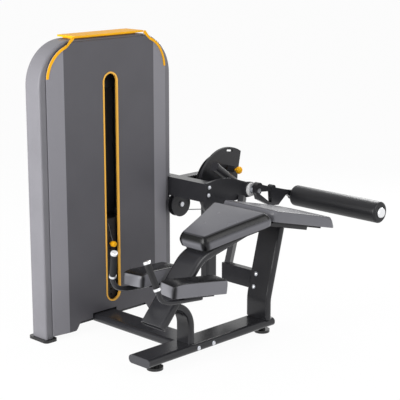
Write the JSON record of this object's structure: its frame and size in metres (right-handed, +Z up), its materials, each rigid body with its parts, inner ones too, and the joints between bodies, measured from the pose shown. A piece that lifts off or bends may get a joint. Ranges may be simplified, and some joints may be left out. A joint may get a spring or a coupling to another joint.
{
  "type": "lying leg curl machine",
  "caption": "Lying leg curl: shrouded weight tower with pin-selected stack, cranked bench with chest, thigh and elbow pads, and a pivoting lever with an ankle roller",
  "frame": {"origin": "Middle of the machine's floor outline, on the floor", "axes": "+X along the bench from head to feet, +Y from the bench towards the tower, +Z up"},
  "size_m": [1.562, 1.09, 1.517],
  "materials": {
    "hoop_powder": "light grey powder coat",
    "panel_powder": "dark grey powder coat",
    "frame_powder": "charcoal powder coat, satin",
    "trim_yellow": "yellow moulded trim",
    "knob_yellow": "yellow moulded knob",
    "bright_steel": "bright zinc and ground steel",
    "chrome_rod": "hard chrome",
    "stack_black": "black painted weight plates",
    "rubber_black": "black rubber",
    "plastic_black": "black moulded plastic",
    "pad_vinyl": "charcoal upholstery vinyl over foam",
    "roller_vinyl": "black skinned foam",
    "board_black": "plywood painted black",
    "collar_alu": "turned aluminium",
    "cable_steel": "coated steel cable"
  },
  "bodies": {
    "root": {"tower_hoop": "hoop_powder", "hoop_feet": "rubber_black", "front_cover": "panel_powder", "rear_cover": "panel_powder", "slot_trim": "trim_yellow", "top_cap": "knob_yellow", "corner_trims": "knob_yellow", "base_sill": "frame_powder", "top_beam": "frame_powder", "guide_rods": "chrome_rod", "stack_bumpers": "rubber_black", "lower_plates": "stack_black", "pulley_brackets": "frame_powder", "pulley_axles": "bright_steel", "tower_cable": "cable_steel", "cross_beam": "frame_powder", "front_beam": "frame_powder", "beam_caps": "plastic_black", "beam_feet": "rubber_black", "frame_bolts": "bright_steel", "front_arch": "frame_powder", "bench_tube": "frame_powder", "right_post": "frame_powder", "side_brace": "frame_powder", "pad_boards": "board_black", "pad_rail": "frame_powder", "chest_pad": "pad_vinyl", "thigh_pad": "pad_vinyl", "near_elbow_pad": "pad_vinyl", "far_elbow_pad": "pad_vinyl", "elbow_brackets": "frame_powder", "handle_bars": "frame_powder", "handle_grips": "rubber_black", "grip_collars": "collar_alu", "outrigger": "frame_powder", "bridge_tube": "frame_powder", "rear_post": "frame_powder", "pivot_plate": "frame_powder", "shaft_bearings": "bright_steel", "pulley_cheeks": "frame_powder", "cam_cable": "cable_steel"},
    "carriage": {"upper_plates": "stack_black", "top_plate": "stack_black", "selector_stem": "bright_steel", "lift_cable": "cable_steel", "pin_lanyard": "cable_steel"},
    "selector": {"selector_pin": "knob_yellow"},
    "cam": {"adjuster_disc": "frame_powder", "cable_cam": "frame_powder"},
    "lever": {"pivot_shaft": "bright_steel", "counterweight": "frame_powder", "lever_arm": "frame_powder", "roller_axle": "bright_steel", "roller_cap": "collar_alu"},
    "roller": {"roller_pad": "roller_vinyl"},
    "plunger": {"pull_pin": "knob_yellow"},
    "left_sheave": {"top_pulley_left": "plastic_black"},
    "right_sheave": {"top_pulley_right": "plastic_black"},
    "side_sheave": {"side_pulley": "plastic_black"},
    "guide_sheave": {"guide_pulley": "plastic_black"}
  },
  "joints": [
    {"name": "curl", "type": "hinge", "parent": "root", "child": "cam", "pos_m": [0.43298, 0.305, 0.647], "axis": [0, -1, 0], "range_deg": [0, 110]},
    {"name": "start_set", "type": "hinge", "parent": "cam", "child": "lever", "pos_m": [0.43298, 0.305, 0.647], "axis": [0, -1, 0], "range_deg": [-30, 30]},
    {"name": "roller_spin", "type": "hinge", "parent": "lever", "child": "roller", "pos_m": [0.72398, -0.207, 0.578], "axis": [0, -1, 0], "continuous": true},
    {"name": "plunger_in", "type": "slide", "parent": "lever", "child": "plunger", "axis": [0, 1, 0], "range_m": [0, 0.014]},
    {"name": "stack_lift", "type": "slide", "parent": "root", "child": "carriage", "axis": [0, 0, 1], "range_m": [0, 0.3], "deforming": ["lift_cable"]},
    {"name": "selector_out", "type": "slide", "parent": "carriage", "child": "selector", "axis": [0, -1, 0], "range_m": [0, 0.065]},
    {"name": "left_sheave_turn", "type": "hinge", "parent": "root", "child": "left_sheave", "pos_m": [-0.27102, 0.469, 1.334], "axis": [0, 1, 0], "range_deg": [0, 370]},
    {"name": "right_sheave_turn", "type": "hinge", "parent": "root", "child": "right_sheave", "pos_m": [-0.06102, 0.469, 1.334], "axis": [0, 1, 0], "range_deg": [0, 370]},
    {"name": "side_sheave_turn", "type": "hinge", "parent": "root", "child": "side_sheave", "pos_m": [0.02198, 0.469, 0.73], "axis": [0, -1, 0], "range_deg": [0, 440]},
    {"name": "guide_sheave_turn", "type": "hinge", "parent": "root", "child": "guide_sheave", "pos_m": [0.14098, 0.371, 0.575], "axis": [0, -1, 0], "range_deg": [0, 490]}
  ],
  "couplings": [
    {"joint": "stack_lift", "follows": "curl", "m_per_rad": 0.15},
    {"joint": "left_sheave_turn", "follows": "curl", "ratio": 3.3333},
    {"joint": "right_sheave_turn", "follows": "curl", "ratio": 3.3333},
    {"joint": "side_sheave_turn", "follows": "curl", "ratio": 3.9474},
    {"joint": "guide_sheave_turn", "follows": "curl", "ratio": 4.4118}
  ]
}
